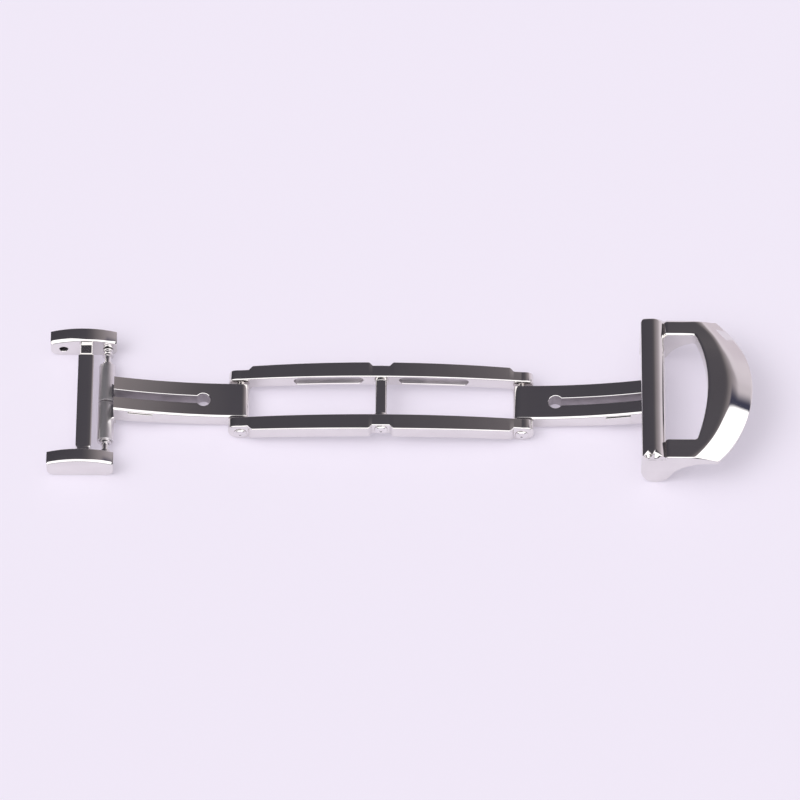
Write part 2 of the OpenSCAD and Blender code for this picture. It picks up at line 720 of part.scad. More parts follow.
module right_bar_tip_back() color(bright) at_origin() bar_tip(right_bar_x, buckle_gap);

rail_front();
rail_back();
cross_bar();
middle_pin();
left_hinge_pin();
right_hinge_pin();
left_blade();
right_blade();
cheek_front();
cheek_back();
bracket_stay();
buckle_frame();
left_bar_tube();
left_bar_spring();
left_bar_tip_front();
left_bar_tip_back();
right_bar_tube();
right_bar_spring();
right_bar_tip_front();
right_bar_tip_back();
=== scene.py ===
import math
from types import SimpleNamespace

import bmesh
import bpy
import numpy as np
from mathutils import Matrix, Vector
from mathutils.geometry import tessellate_polygon


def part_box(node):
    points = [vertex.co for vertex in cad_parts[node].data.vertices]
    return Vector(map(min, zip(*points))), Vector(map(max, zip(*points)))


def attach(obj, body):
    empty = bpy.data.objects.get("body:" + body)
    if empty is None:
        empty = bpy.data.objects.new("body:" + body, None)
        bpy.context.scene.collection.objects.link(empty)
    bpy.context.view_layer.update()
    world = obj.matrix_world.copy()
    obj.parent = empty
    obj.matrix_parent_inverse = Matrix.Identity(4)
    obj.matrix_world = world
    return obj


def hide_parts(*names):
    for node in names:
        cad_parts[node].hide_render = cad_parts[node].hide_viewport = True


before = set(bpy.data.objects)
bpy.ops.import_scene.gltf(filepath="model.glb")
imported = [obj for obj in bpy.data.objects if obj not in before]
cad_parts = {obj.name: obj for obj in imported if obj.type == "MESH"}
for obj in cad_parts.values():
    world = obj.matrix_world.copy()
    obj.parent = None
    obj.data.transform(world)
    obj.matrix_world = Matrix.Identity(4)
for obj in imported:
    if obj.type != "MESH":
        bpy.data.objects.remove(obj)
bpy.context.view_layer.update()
mm = 0.001  # sizes below are in millimetres, meshes in metres

weldDistance, sliverLength = 1e-7, 2e-8  # metres: points this near are one, edges this short go

# A chamfer with softened shoulders: how far in from one face, and how far down from the other, both in
# units of the chamfer's width
cutReach = 1.2
softCut = np.array([(0, cutReach), (0.05, 0.98), (0.24, 0.74), (0.74, 0.24), (0.98, 0.05), (cutReach, 0)])


# Lowest and highest corner of a CAD node, in millimetres
def nodeBox(name):
    low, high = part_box(name)
    return np.array(low) / mm, np.array(high) / mm


# Middle of a CAD node's box
def middleOf(name):
    low, high = nodeBox(name)
    return (low + high) / 2


# Radius of an arc that rises by rise over run, measured from its crown
def arcRadius(run, rise):
    return (run * run + rise * rise) / (2 * rise)


# Height of such an arc at a run from its crown
def arcHeight(crown, radius, run):
    return crown - radius + np.sqrt(radius**2 - run**2)


# Height of a round end's upper half at a distance from its middle: |x|^n + |z|^n = r^n, where a power n
# above 2 makes the end squarer than a circle
def roundEnd(away, radius, power):
    return radius * np.maximum(1 - np.clip(away / radius, 0, 1) ** power, 0) ** (1 / power)


# Goes smoothly from 0 at low to 1 at high
def smoothStep(value, low, high):
    t = np.clip((value - low) / (high - low), 0, 1)
    return t * t * (3 - 2 * t)


# The smaller of two heights, blended over a band k wide where they cross
def softMin(a, b, k):
    t = np.clip(0.5 + 0.5 * (b - a) / k, 0, 1)
    return b + (a - b) * t - k * t * (1 - t)


# Points on a circle, from one angle to another in degrees
def arc(centre, radius, start, end, count):
    a = np.radians(np.linspace(start, end, count))
    return np.stack([centre[0] + radius * np.cos(a), centre[1] + radius * np.sin(a)], 1)


# A closed line whose corners are rounded: each becomes a quadratic curve that begins and ends
# one radius away along the corner's two edges
def softLine(corners, radius, steps=4):
    p = np.array(corners, float)
    back, ahead = np.roll(p, 1, 0) - p, np.roll(p, -1, 0) - p
    backLength, aheadLength = (np.linalg.norm(v, axis=1)[:, None] for v in (back, ahead))
    r = np.broadcast_to(np.asarray(radius, float), len(p))[:, None]
    start = p + back / backLength * np.minimum(r, 0.49 * backLength)
    end = p + ahead / aheadLength * np.minimum(r, 0.49 * aheadLength)
    t = np.linspace(0, 1, steps + 1)[:, None, None]
    curve = (1 - t) ** 2 * start + 2 * t * (1 - t) * p + t**2 * end
    return curve.transpose(1, 0, 2).reshape(-1, 2)


# Unit vectors square to a line, on its left; the line may be closed
def leftOf(line, closed):
    if closed:
        along = np.roll(line, -1, 0) - np.roll(line, 1, 0)
    else:
        along = np.gradient(line, axis=0)
    along = along / np.linalg.norm(along, axis=1)[:, None]
    return np.stack([-along[:, 1], along[:, 0]], 1)


# A grid of columns along x, each with its own y and z
def alongX(x, columns):
    return np.stack([np.stack([x, y + 0 * x, z + 0 * x], 1) for y, z in columns], 1)


# Bevel widths around a side view: wide where its edge looks up, narrow where it looks down
def edgeWidths(out, narrow, wide):
    return (narrow + (wide - narrow) * smoothStep(out[:, 1], -0.6, 0.7))[:, None]


# A rectangle of half width w and half height h, with its corners cut off b across and d down
def cutCorners(w, h, b, d):
    return [(-w, h - d), (b - w, h), (w - b, h), (w, h - d),
            (w, d - h), (w - b, -h), (b - w, -h), (-w, d - h)]


# A side view carried across: at each place across, every point of the outline has stepped in along its
# own normal by the inset there
def carried(outline, out, across, inset):
    return np.stack([outline[:, :1] - out[:, :1] * inset, across, outline[:, 1:] - out[:, 1:] * inset], -1)


# A side view carried across from one y to another, with a softened bevel along each of the two edges
def bevelled(outline, out, inner, outer, innerCut, outerCut):
    innerCut, outerCut = (cut + 0 * outline[:, :1] for cut in (innerCut, outerCut))
    across = np.concatenate([inner + softCut[:, 0] * innerCut, outer - softCut[::-1, 0] * outerCut], 1)
    inset = np.concatenate([softCut[:, 1] * innerCut, softCut[::-1, 1] * outerCut], 1)
    return carried(outline, out, across, inset)


# Gathers the grids and flat caps of one piece in millimetres, then welds them into one closed mesh and
# turns its faces outwards. flipX and flipY mirror the piece, and shiftX and shiftZ place it.
class Skin:
    def __init__(self, name, flipX=1, flipY=1, shiftX=0.0, shiftZ=0.0):
        self.name = name
        self.turn = np.array([flipX, flipY, 1.0])
        self.shift = np.array([shiftX, 0.0, shiftZ])
        self.half = 1  # -1 mirrors what is added next across the strap's middle plane
        self.points, self.faces, self.count = [], [], 0

    def add(self, points, faces):
        self.points.append(np.reshape(points, (-1, 3)) * (1, self.half, 1))
        self.faces += (faces + self.count).tolist()
        self.count += len(self.points[-1])

    # The faces of a grid of points, which closes after its last row when ring is set
    def grid(self, g, ring=False):
        rows, columns = g.shape[:2]
        i, j = np.meshgrid(np.arange(rows if ring else rows - 1), np.arange(columns - 1), indexing="ij")
        a, b = i * columns + j, (i + 1) % rows * columns + j
        self.add(g, np.stack([a, a + 1, b + 1, b], -1).reshape(-1, 4))

    # A flat face bounded by an outline, with holes where more loops follow
    def cap(self, *loops):
        triangles = tessellate_polygon([[Vector(p) for p in loop] for loop in loops])
        self.add(np.concatenate(loops), np.array(triangles))

    # A closed bar: a grid whose rows are its rings, with a cap on the first and on the last
    def bar(self, g):
        self.grid(g)
        self.cap(g[0, :-1])
        self.cap(g[-1, :-1])

    # A profile of (radius, y) points turned about an axis along Y
    def turned(self, profile, x=0.0, z=0.0, steps=96):
        a = np.linspace(0, 2 * math.pi, steps, endpoint=False)[:, None]
        r, y = profile[None, :, 0], profile[None, :, 1]
        self.grid(np.stack([x + r * np.sin(a), y + 0 * a, z + r * np.cos(a)], -1), ring=True)

    # An edge looks sharp past the angle sharp, in degrees
    def build(self, body, finish, nodes, sharp=33):
        points = (np.concatenate(self.points) * self.turn + self.shift) * mm
        mesh = bpy.data.meshes.new(self.name)
        mesh.from_pydata(points.tolist(), [], self.faces)
        bm = bmesh.new()
        bm.from_mesh(mesh)
        bmesh.ops.remove_doubles(bm, verts=bm.verts, dist=weldDistance)
        bmesh.ops.dissolve_degenerate(bm, dist=sliverLength, edges=bm.edges)
        bmesh.ops.recalc_face_normals(bm, faces=bm.faces)
        bm.to_mesh(mesh)
        bm.free()
        mesh.polygons.foreach_set("use_smooth", np.ones(len(mesh.polygons), bool))
        mesh.set_sharp_from_angle(angle=math.radians(sharp))
        mesh.materials.append(steels[finish])
        piece = bpy.data.objects.new(self.name, mesh)
        bpy.context.scene.collection.objects.link(piece)
        weights = piece.modifiers.new("Weighted normals", "WEIGHTED_NORMAL")
        weights.keep_sharp = True
        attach(piece, body)
        if nodes:
            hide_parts(*nodes)
        print(f"{self.name}: {len(mesh.polygons)} faces")


# One output socket of a node tree. Expressions on it add their Math nodes.
class Shade:
    def __init__(self, tree, socket=None):
        self.tree, self.socket = tree, socket

    def node(self, kind, settings=None, inputs=None, output=0):
        made = self.tree.nodes.new(kind)
        for key, value in (settings or {}).items():
            if key == "stops":
                ramp = made.color_ramp.elements
                while len(ramp) < len(value):
                    ramp.new(1)
                for stop, (place, colour) in zip(ramp, value):
                    stop.position, stop.color = place, (*colour, 1)
            else:
                setattr(made, key, value)
        for key, value in (inputs or {}).items():
            if isinstance(value, Shade):
                self.tree.links.new(value.socket, made.inputs[key])
            else:
                made.inputs[key].default_value = value
        return Shade(self.tree, made.outputs[output])

    def maths(self, operation, first, second):
        return self.node("ShaderNodeMath", {"operation": operation}, {0: first, 1: second})

    def __add__(self, other):
        return self.maths("ADD", self, other)

    def __mul__(self, other):
        return self.maths("MULTIPLY", self, other)

    def __sub__(self, other):
        return self.maths("SUBTRACT", self, other)

    def __rsub__(self, other):
        return self.maths("SUBTRACT", other, self)

    def __pow__(self, other):
        return self.maths("POWER", self, other)

    __radd__, __rmul__ = __add__, __mul__


# An empty material, its node tree and its output node
def newMaterial(name):
    material = bpy.data.materials.new(name)
    material.use_nodes = True
    material.node_tree.nodes.clear()
    output = material.node_tree.nodes.new("ShaderNodeOutputMaterial")
    return material, Shade(material.node_tree), output


# How each steel is finished: its material slot, its clean and its dull tint, its roughness clean and
# smudged, how many of its fine lines a metre along X, Y and Z crosses, how deep they are and how deep the
# polish's waves, in metres
finishes = {name: dict(zip(("slot", "clean", "dull", "smooth", "smudged", "lines", "depth", "wave"), row))
            for name, row in {
    "polishedSteel": ("polished_steel", (0.86, 0.845, 0.83), (0.82, 0.8, 0.79), 0.025, 0.07,
                      (900, 14000, 9000), 2e-7, 1.5e-6),
    "rivetSteel": ("pin_steel", (0.9, 0.885, 0.88), (0.82, 0.80, 0.80), 0.05, 0.14,
                   (6000, 900, 6000), 4e-7, 2e-6),
    "turnedSteel": ("bar_steel", (0.88, 0.865, 0.865), (0.78, 0.765, 0.77), 0.06, 0.16,
                    (600, 16000, 600), 8e-7, 1e-6),
    # The bored steel is rough, and its dark tint is painted shade inside the cheeks' holes
    "boredSteelPaintedShade": ("bar_steel", (0.34, 0.32, 0.34), (0.2, 0.19, 0.21), 0.4, 0.6,
                   (900, 9000, 900), 8e-7, 1e-6),
    "drawnSteel": ("polished_steel", (0.84, 0.82, 0.83), (0.7, 0.68, 0.7), 0.3, 0.42,
                   (9000, 260, 9000), 5e-6, 1e-6),
    # The milled steel is rougher, and its darker tint is painted shade in the rails' grooves and the blades'
    # slits
    "milledSteelPaintedShade": ("polished_steel", (0.6, 0.57, 0.59), (0.42, 0.4, 0.42), 0.42, 0.55,
                    (700, 700, 9000), 6e-7, 1e-6),
    "springWire": ("spring_wire", (0.7, 0.69, 0.69), (0.5, 0.49, 0.49), 0.2, 0.38,
                   (3000, 3000, 3000), 8e-7, 1e-6),
}.items()}
# How fine smudges and waves are, which noise is clean or smudged, and how far the lines roughen a steel
polish = {"smudges": 220.0, "waves": 330.0, "clean": 0.42, "smudged": 0.68, "lineRough": 0.02}


# Noise with so many cells a metre
def noise(s, place, cells, detail):
    return s.node("ShaderNodeTexNoise", inputs={"Vector": place, "Scale": cells, "Detail": detail})


# Mixes two colours of a node tree, each a link or three numbers
def mixed(s, share, first, second):
    ends = {6 + k: end if isinstance(end, Shade) else (*end, 1) for k, end in enumerate((first, second))}
    return s.node("ShaderNodeMix", {"data_type": "RGBA"}, {0: share, **ends}, output=2)


# Bare steel: smudges tint and roughen it, fine polishing lines and a faint waviness bend its normal
def steel(name):
    finish = finishes[name]
    material, s, output = newMaterial(name)
    place = s.node("ShaderNodeTexCoord", output=3)
    cloud = s.node("ShaderNodeMapRange", inputs={
        "Value": noise(s, place, polish["smudges"], 3.0), "From Min": polish["clean"],
        "From Max": polish["smudged"]})
    stretched = s.node("ShaderNodeMapping", inputs={"Vector": place, "Scale": finish["lines"]})
    lines, wave = noise(s, stretched, 1.0, 2.0), noise(s, place, polish["waves"], 1.0)
    rough = cloud * (finish["smudged"] - finish["smooth"]) + lines * polish["lineRough"] + finish["smooth"]
    height = lines * (finish["depth"] / mm) + wave * (finish["wave"] / mm)
    bump = s.node("ShaderNodeBump", inputs={"Height": height, "Strength": 1.0, "Distance": mm})
    shader = s.node("ShaderNodeBsdfPrincipled", inputs={
        "Base Color": mixed(s, cloud, finish["clean"], finish["dull"]), "Metallic": 1.0,
        "Roughness": rough, "Normal": bump})
    material.node_tree.links.new(shader.socket, output.inputs["Surface"])
    return material


steels = {name: steel(name) for name in finishes}
print("steels:", ", ".join(steels))

# Places that the CAD frame gives
linkMiddle = middleOf("middle_pin")
leftPin, rightPin = middleOf("left_hinge_pin"), middleOf("right_hinge_pin")
leftBar, rightBar = middleOf("left_bar_tube"), middleOf("right_bar_tube")
pinRun = (rightPin[0] - leftPin[0]) / 2  # from the link's middle to a hinge pin
railLow, railHigh = nodeBox("rail_back")

railShape = {
    "depth": 2.0, "endDepth": 2.0, "endRadius": 1.4, "endPower": 3.2, "bow": 0.2,
    "frontEdge": 0.11, "backEdge": 0.04, "lowerEdge": 0.05,  # bevels of edges that face front, back and down
    "middleFloor": 0.45, "endFloor": 0.65,  # how far the recess floors lie inside the crown's outer face
    "middleRecess": 2.0, "endRecess": 0.9, "recessSlope": 1.1, "recessSoft": 0.12,
    "grooveStart": 2.1, "grooveLength": 8.1, "grooveHeight": 1.35, "grooveCover": 0.3,
    "grooveDepth": 0.35, "lip": 0.05, "lining": 0.01,
    "slopeRows": (0.08, 0.12), "endTurn": -38,  # close rows reach so far past a slope, and start there
}


# A rail: top and underside are arcs that end in a half round about each hinge pin. The rim is that side
# view carried across the width, with bevels. The outer face is bowed and steps back at the pin heads, and
# the inner face sinks into two long grooves that follow the arch.
def rail(name, side):
    shape = SimpleNamespace(**railShape)
    endR, crown = shape.endRadius, railHigh[2]
    topR = arcRadius(pinRun, crown - 2 * endR)
    underZ = crown - shape.depth
    underR = arcRadius(pinRun, underZ - 2 * endR + shape.endDepth)
    grooveR, lip = shape.grooveHeight / 2, shape.lip
    grooveEnds = shape.grooveStart + grooveR, shape.grooveStart + shape.grooveLength - grooveR
    slant = shape.middleFloor / shape.recessSlope
    endStart = pinRun - shape.endRecess

    before, after = shape.slopeRows
    turn = np.radians(np.linspace(0, 90, 12))
    half = np.concatenate([
        np.linspace(0, shape.middleRecess / 2 - after, 4),
        shape.middleRecess / 2 + np.linspace(-before, slant + after, 12),
        grooveEnds[0] - grooveR * np.cos(turn), grooveEnds[0] - (grooveR + lip) * np.cos(turn),
        np.linspace(*grooveEnds, 24),
        grooveEnds[1] + grooveR * np.cos(turn), grooveEnds[1] + (grooveR + lip) * np.cos(turn),
        np.linspace(grooveEnds[1] + 1, endStart - slant - before - after, 14),
        endStart - np.linspace(-before, slant + after, 12),
        pinRun + endR * np.sin(np.radians(np.linspace(shape.endTurn, 90, 48))),
    ])
    half = np.unique(np.round(half, 4))
    x = np.concatenate([-half[:0:-1], half])
    away = np.abs(x)
    beyond = away - pinRun
    endHalf = np.sqrt(np.maximum(endR**2 - beyond**2, 0))
    archTop = arcHeight(crown, topR, np.minimum(away, pinRun))
    top = np.where(beyond > 0, endR + roundEnd(beyond, endR, shape.endPower), archTop)
    under = arcHeight(underZ, underR, np.minimum(away, pinRun))
    bottom = np.where(-beyond < endR, np.minimum(np.where(beyond > 0, crown, under), endR - endHalf), under)

    outline = np.concatenate([np.stack([x, top], 1), np.stack([x, bottom], 1)[-2:0:-1]])
    out = leftOf(outline, True)
    front, back = (edgeWidths(out, shape.lowerEdge, railShape[edge]) for edge in ("frontEdge", "backEdge"))
    around = np.concatenate([away, away[-2:0:-1]])[:, None]
    outer = railHigh[1] - shape.bow * (around / pinRun) ** 2
    for floor, offset in (("middleFloor", around - shape.middleRecess / 2),
                          ("endFloor", endStart - around)):
        recess = railHigh[1] - railShape[floor] + shape.recessSlope * np.maximum(offset, 0)
        outer = softMin(outer, recess, shape.recessSoft)
    inner, bed = railLow[1], railLow[1] + shape.grooveDepth
    rim = bevelled(outline, out, inner, outer, *(front, back)[::side])
    skin = Skin(f"{name}_skin", 1, side, linkMiddle[0])
    skin.grid(rim, ring=True)

    count = len(x)
    lower = np.concatenate([[0], np.arange(len(outline) - 1, count - 1, -1), [count - 1]])
    skin.grid(np.stack([rim[:count, -1], rim[lower, -1]], 1))

    along = np.clip(away, *grooveEnds)
    off = np.abs(away - along)
    middle = crown - topR + np.sqrt((topR - shape.grooveCover - grooveR) ** 2 - x**2)
    wide = np.sqrt(np.maximum((grooveR + lip) ** 2 - off**2, 0))
    tall = np.sqrt(np.maximum(grooveR**2 - off**2, 0))
    lipY = inner + np.clip(grooveR + lip - off, 0, lip)
    floorY = np.where(off < grooveR, bed, lipY)
    groove = alongX(x, [(inner, middle + wide), (lipY, middle + tall), (floorY, middle + tall),
                        (floorY, middle - tall), (lipY, middle - tall), (inner, middle - wide)])
    skin.grid(np.concatenate([rim[:count, None, 0], groove, rim[lower, None, 0]], 1))
    skin.build("link", "polishedSteel", [name])

    # The milled inside of each groove, a hair off the groove's own faces; its steel's darker tint is painted
    # shade in the groove
    thin = shape.lining
    here = (x > 0) & (off < grooveR - thin)
    h = np.sqrt((grooveR - thin) ** 2 - off[here] ** 2)
    wall, near, deep, past = h + 2 * thin, inner + lip, bed - thin, bed + thin
    ring = [(h, near), (h, deep), (-h, deep), (-h, near), (-wall, near), (-wall, past), (wall, past),
            (wall, near), (h, near)]
    for word, end in (("right", 1), ("left", -1)):
        lining = Skin(f"{name}_groove_{word}", end, side, linkMiddle[0])
        lining.bar(alongX(x[here], [(y, middle[here] + z) for z, y in ring]))
        lining.build("link", "milledSteelPaintedShade", [])


rail("rail_back", 1)
rail("rail_front", -1)

pinShape = {
    "headRadius": 0.78, "shaftRadius": 0.5, "dome": 0.3, "rim": 0.09, "soft": 0.05,
    "shoulder": (0.62, 0.245), "dimple": (0.3, 0.285), "foot": (0.16, 0.17),  # radius and height
}


# A riveted pin: a shaft with a low head at each end. The head is a turned line with rounded corners: rim,
# slanted shoulder, nearly flat top, and a dimple at its middle.
def rivetedPin(name):
    shape = SimpleNamespace(**pinShape)
    high, centre = nodeBox(name)[1], middleOf(name)
    seat, r = high[1] - shape.dome, shape.headRadius
    shoulder, dimple, foot = (np.array(place) + (0, seat)
                              for place in (shape.shoulder, shape.dimple, shape.foot))
    corners = [(shape.shaftRadius, 0), (shape.shaftRadius, seat), (r, seat), (r, seat + shape.rim),
               shoulder, dimple, foot, (0, foot[1])]
    end = softLine(corners, [0] + [shape.soft] * 6 + [0])
    skin = Skin(f"{name}_skin", 1, 1, centre[0], centre[2])
    skin.turned(np.concatenate([(end * (1, -1))[::-1], end[1:]]), steps=64)
    skin.build("link", "rivetSteel", [name])


for name in ("middle_pin", "left_hinge_pin", "right_hinge_pin"):
    rivetedPin(name)

crossShape = {"width": 1.3, "depth": 1.3, "edge": 0.14, "soft": 0.04,
              "collar": 0.85, "collarLength": 0.35, "collarEdge": 0.03}


# The bar between the rails: a square with soft bevels carried across the gap, and a bevelled collar
# against each rail
def crossBar():
    shape = SimpleNamespace(**crossShape)
    low, high = nodeBox("cross_bar")
    e = shape.edge
    section = softLine(cutCorners(shape.width / 2, shape.depth / 2, e, e), shape.soft)
    section = np.concatenate([section, section[:1]])
    skin = Skin("cross_bar_skin", 1, 1, linkMiddle[0], linkMiddle[2])
    skin.bar(np.stack([np.insert(section, 1, y, axis=1) for y in (low[1], high[1])]))
    r, c, y = shape.collar, shape.collarEdge, high[1]
    for inner, outer in ((y - shape.collarLength, y), (-y, shape.collarLength - y)):
        skin.turned(np.array([(0, inner), (r - c, inner), (r, inner + c), (r, outer - c), (r - c, outer),
                              (0, outer)]), steps=64)
    skin.build("link", "polishedSteel", ["cross_bar"])


crossBar()

bladeShape = {
    "play": 0.3, "knuckle": 1.0, "nosePower": 3.0, "rise": 1.65, "endDepth": 2.6, "endGap": 0.95,
    "frontEdge": 0.24, "backEdge": 0.035, "lowerEdge": 0.05,
    "keyhole": 0.835, "keyholeBack": 11.35, "slit": 0.475, "rim": 0.05,
    "padBack": 2.6, "padLength": 2.9, "padProud": 0.2, "padMargin": 0.35, "padEdge": 0.04, "padCorner": 0.08,
    "neckHeight": 1.5, "neckLap": 0.2, "neckSoft": 0.1, "fillet": 0.9, "filletBack": 0.3,
    "sunk": 0.02,  # how far inside the arm's side the pads and the neck start
    "barrelSlit": 0.1, "barrelSoft": 0.05, "boreGap": 0.04, "lining": 0.01,
}


# A blade, with u outward from its hinge pin: a hollow-ground top and a bellied underside, both arcs, run
# into a round knuckle. Each half is carried across from the slit to the side. The slit's half width
# follows the keyhole's circle, then stays constant. A turned barrel closes the end.
def blade(name, pin, bar, barNode, toward):
    shape = SimpleNamespace(**bladeShape)
    low, high = nodeBox(name)
    length = abs(bar[0] - pin[0])
    axis = bar[2] - pin[2]
    side = railLow[1] - shape.play
    kr = shape.knuckle
    bodyLength = length - shape.endGap
    topR = arcRadius(bodyLength, shape.rise)
    underR = arcRadius(bodyLength, shape.rise + 2 * kr - shape.endDepth)
    holeU, holeR, rim = length - shape.keyholeBack, shape.keyhole, shape.rim

    # Both arcs start level at the pin and rise with u
    def topAt(u):
        return kr + topR - np.sqrt(topR**2 - u**2)

    def bottomAt(u):
        return underR - kr - np.sqrt(underR**2 - u**2)

    turn = np.radians(np.linspace(0, 180, 33))
    u = np.concatenate([
        -kr * np.cos(turn[:17]), np.linspace(0, holeU - holeR - rim, 7),
        holeU - holeR * np.cos(turn), holeU - (holeR + rim) * np.cos(turn),
        np.linspace(holeU + holeR + rim, bodyLength, 36),
    ])
    u = np.unique(np.round(u[u <= bodyLength], 5))
    nose = roundEnd(-u, kr, 2)
    top = np.where(u < 0, roundEnd(-u, kr, shape.nosePower), topAt(u))
    bottom = np.where(u < 0, -nose, bottomAt(u))

    # Half the gap between the arms: the keyhole's circle, and past its middle at least the slit
    def halfGap(radius, slit):
        hole = np.sqrt(np.maximum(radius**2 - (u - holeU) ** 2, 0))
        return np.where(u < holeU, hole, np.maximum(hole, slit))

    gap, mouth = halfGap(holeR, shape.slit), halfGap(holeR + rim, shape.slit + rim)
    drop = np.where(u < holeU, np.clip(holeR + rim - (holeU - u), 0, rim), rim)
    count = len(u)
    both = np.concatenate([np.arange(count)[::-1], np.arange(1, count)])
    outline = np.concatenate([np.stack([u, top], 1)[::-1], np.stack([u, bottom], 1)[1:]])
    out = -leftOf(outline, False)
    out[0], out[-1] = (0, 1), (0, -1)
    isTop = (np.arange(len(outline)) < count)[:, None]
    tops, bottoms = np.arange(count)[::-1], np.arange(count - 1, len(outline))
    inSlit = u > holeU - holeR - 1e-4  # from where the keyhole starts
    plan = np.stack([u, gap], 1)[inSlit]
    toWall = leftOf(plan, False) * shape.lining
    gapRing, mouthRing = gap[both][:, None], np.where(isTop, mouth[both][:, None], gap[both][:, None])
    sink = np.where(isTop, drop[both][:, None], 0)

    # A pad's outline: the arm's side view drawn in by a margin, with rounded corners
    padU = np.linspace(length - shape.padBack - shape.padLength, length - shape.padBack, 16)
    padTop = np.stack([padU, topAt(padU) - shape.padMargin], 1)
    padUnder = np.stack([padU, bottomAt(padU) + shape.padMargin], 1)
    pad = np.concatenate([padTop, padUnder[::-1]])
    corners = np.zeros(len(pad))
    corners[[0, len(padU) - 1, len(padU), -1]] = shape.padCorner
    pad = softLine(pad, corners, 3)
    pad = pad[np.linalg.norm(pad - np.roll(pad, 1, 0), axis=1) > 1e-6]

    # The neck's side flares into the barrel along a quarter circle
    neckEnd = length - shape.filletBack
    neckU = np.linspace(bodyLength - shape.neckLap, neckEnd, 24)
    t = np.clip((neckU - neckEnd) / shape.fillet + 1, 0, 1)
    flare = side - shape.sunk + shape.fillet * (1 - np.sqrt(1 - t**2))
    tall, soft, slitY = shape.neckHeight / 2, shape.neckSoft, shape.slit + 0 * flare
    neck = alongX(neckU, [(slitY, axis + tall), (flare - soft, axis + tall), (flare, axis + (tall - soft)),
                          (flare, axis + (soft - tall)), (flare - soft, axis - tall), (slitY, axis - tall),
                          (slitY, axis + tall)])

    barrelR = (high[0] - low[0]) - length - kr
    tubeLow, tubeHigh = nodeBox(barNode)
    boreR = (tubeHigh[2] - tubeLow[2]) / 2 + shape.boreGap
    wallLine = softLine([(boreR, shape.barrelSlit), (barrelR, shape.barrelSlit), (barrelR, high[1]),
                         (boreR, high[1])], shape.barrelSoft)

    skin, slitWalls, barrel = (Skin(f"{name}_{part}", toward, 1, pin[0], pin[2])
                               for part in ("skin", "slit", "barrel"))
    for half, edge in ((1, "backEdge"), (-1, "frontEdge")):
        skin.half = slitWalls.half = barrel.half = half
        cut = edgeWidths(out, shape.lowerEdge, bladeShape[edge])
        across = np.concatenate([gapRing, mouthRing, side - softCut[::-1, 0] * cut], 1)
        inset = np.concatenate([sink, 0 * sink, softCut[::-1, 1] * cut], 1)
        arm = carried(outline, out, across, inset)
        skin.grid(arm)
        skin.grid(np.stack([arm[tops, -1], arm[bottoms, -1]], 1))
        skin.grid(np.stack([arm[0], arm[-1]]))
        wall = np.stack([arm[tops[inSlit], 0], arm[bottoms[inSlit], 0]], 1)
        skin.grid(wall)
        # The slit's milled wall, a plate a hair thick to either side of the skin's own; its steel's darker
        # tint is painted shade in the slit
        z, foot = wall[:, 0, 2], wall[:, 1, 2] + shape.lining
        plate = [(-1, z), (-1, foot), (1, foot), (1, z), (-1, z)]
        slitWalls.bar(np.stack([np.column_stack([plan + k * toWall, at]) for k, at in plate], 1))
        island = bevelled(pad, leftOf(pad, True), side - shape.sunk, side + shape.padProud, 0,
                          shape.padEdge)
        skin.grid(island, ring=True)
        skin.cap(island[:, -1])
        skin.cap(island[:, 0])
        skin.bar(neck)
        barrel.turned(np.concatenate([wallLine, wallLine[:1]]), length, axis, steps=128)
    skin.build(name, "polishedSteel", [name])
    slitWalls.build(name, "milledSteelPaintedShade", [])
    barrel.build(name, "drawnSteel", [])


blade("left_blade", leftPin, leftBar, "left_bar_tube", -1)
blade("right_blade", rightPin, rightBar, "right_bar_tube", 1)

springBarShape = {
    "wall": 0.15, "lip": 0.3, "shank": 0.38, "play": 0.04, "soft": 0.03,
    "collar": 0.3, "flange": 0.25, "groove": 0.3, "seat": 0.1,
    "tip": 0.4, "tipLength": 0.8, "tipCut": (0.12, 0.15),  # radius, length and the end's chamfer
}


# A spring-bar tube is a plain ring carried along Y. A tip is a turned profile: pin, two flanges with a
# tool groove between them, shank and the collar that the tube's crimped lip holds in.
def springBar(prefix, body, centre):
    shape = SimpleNamespace(**springBarShape)
    tubeLow, tubeHigh = nodeBox(f"{prefix}_tube")
    outer = (tubeHigh[2] - tubeLow[2]) / 2
    inner, half, lip = outer - shape.wall, tubeHigh[1], shape.lip
    r, soft = shape.shank, shape.soft
    lipR, collarR = r + shape.play, inner - shape.play
    corners = [(lipR, half), (lipR, half - lip), (inner, half - lip), (inner, lip - half),
               (lipR, lip - half), (lipR, -half), (outer, -half), (outer, half)]
    profile = softLine(corners, soft)
    skin = Skin(f"{prefix}_tube_skin", 1, 1, centre[0], centre[2])
    skin.turned(np.concatenate([profile, profile[:1]]), steps=96)
    skin.build(body, "turnedSteel", [f"{prefix}_tube"])
    for end, side in (("front", -1), ("back", 1)):
        node = f"{prefix}_tip_{end}"
        low, high = nodeBox(node)
        start, stop = (low[1], high[1]) if side > 0 else (-high[1], -low[1])
        flangeR, tipR, (cut, cutLength) = (high[2] - low[2]) / 2, shape.tip, shape.tipCut
        f, g, grooveR = shape.flange, shape.groove, (flangeR + tipR) / 2
        seat = stop - shape.tipLength - shape.seat
        collarEnd = start + shape.collar
        corners = [(0, start), (collarR, start), (collarR, collarEnd), (r, collarEnd),
                   (r, seat - 2 * f - g), (flangeR, seat - 2 * f - g), (flangeR, seat - f - g),
                   (grooveR, seat - f - g), (grooveR, seat - f), (flangeR, seat - f), (flangeR, seat),
                   (tipR, seat), (tipR, stop - cutLength), (tipR - cut, stop), (0, stop)]
        line = softLine(corners, [0] + [soft] * (len(corners) - 2) + [0], steps=2)
        skin = Skin(f"{node}_skin", 1, side, centre[0], centre[2])
        skin.turned(line, steps=72)
        skin.build(node.replace("_bar", ""), "turnedSteel", [node])


springBar("left_bar", "bracket", leftBar)
springBar("right_bar", "buckle", rightBar)

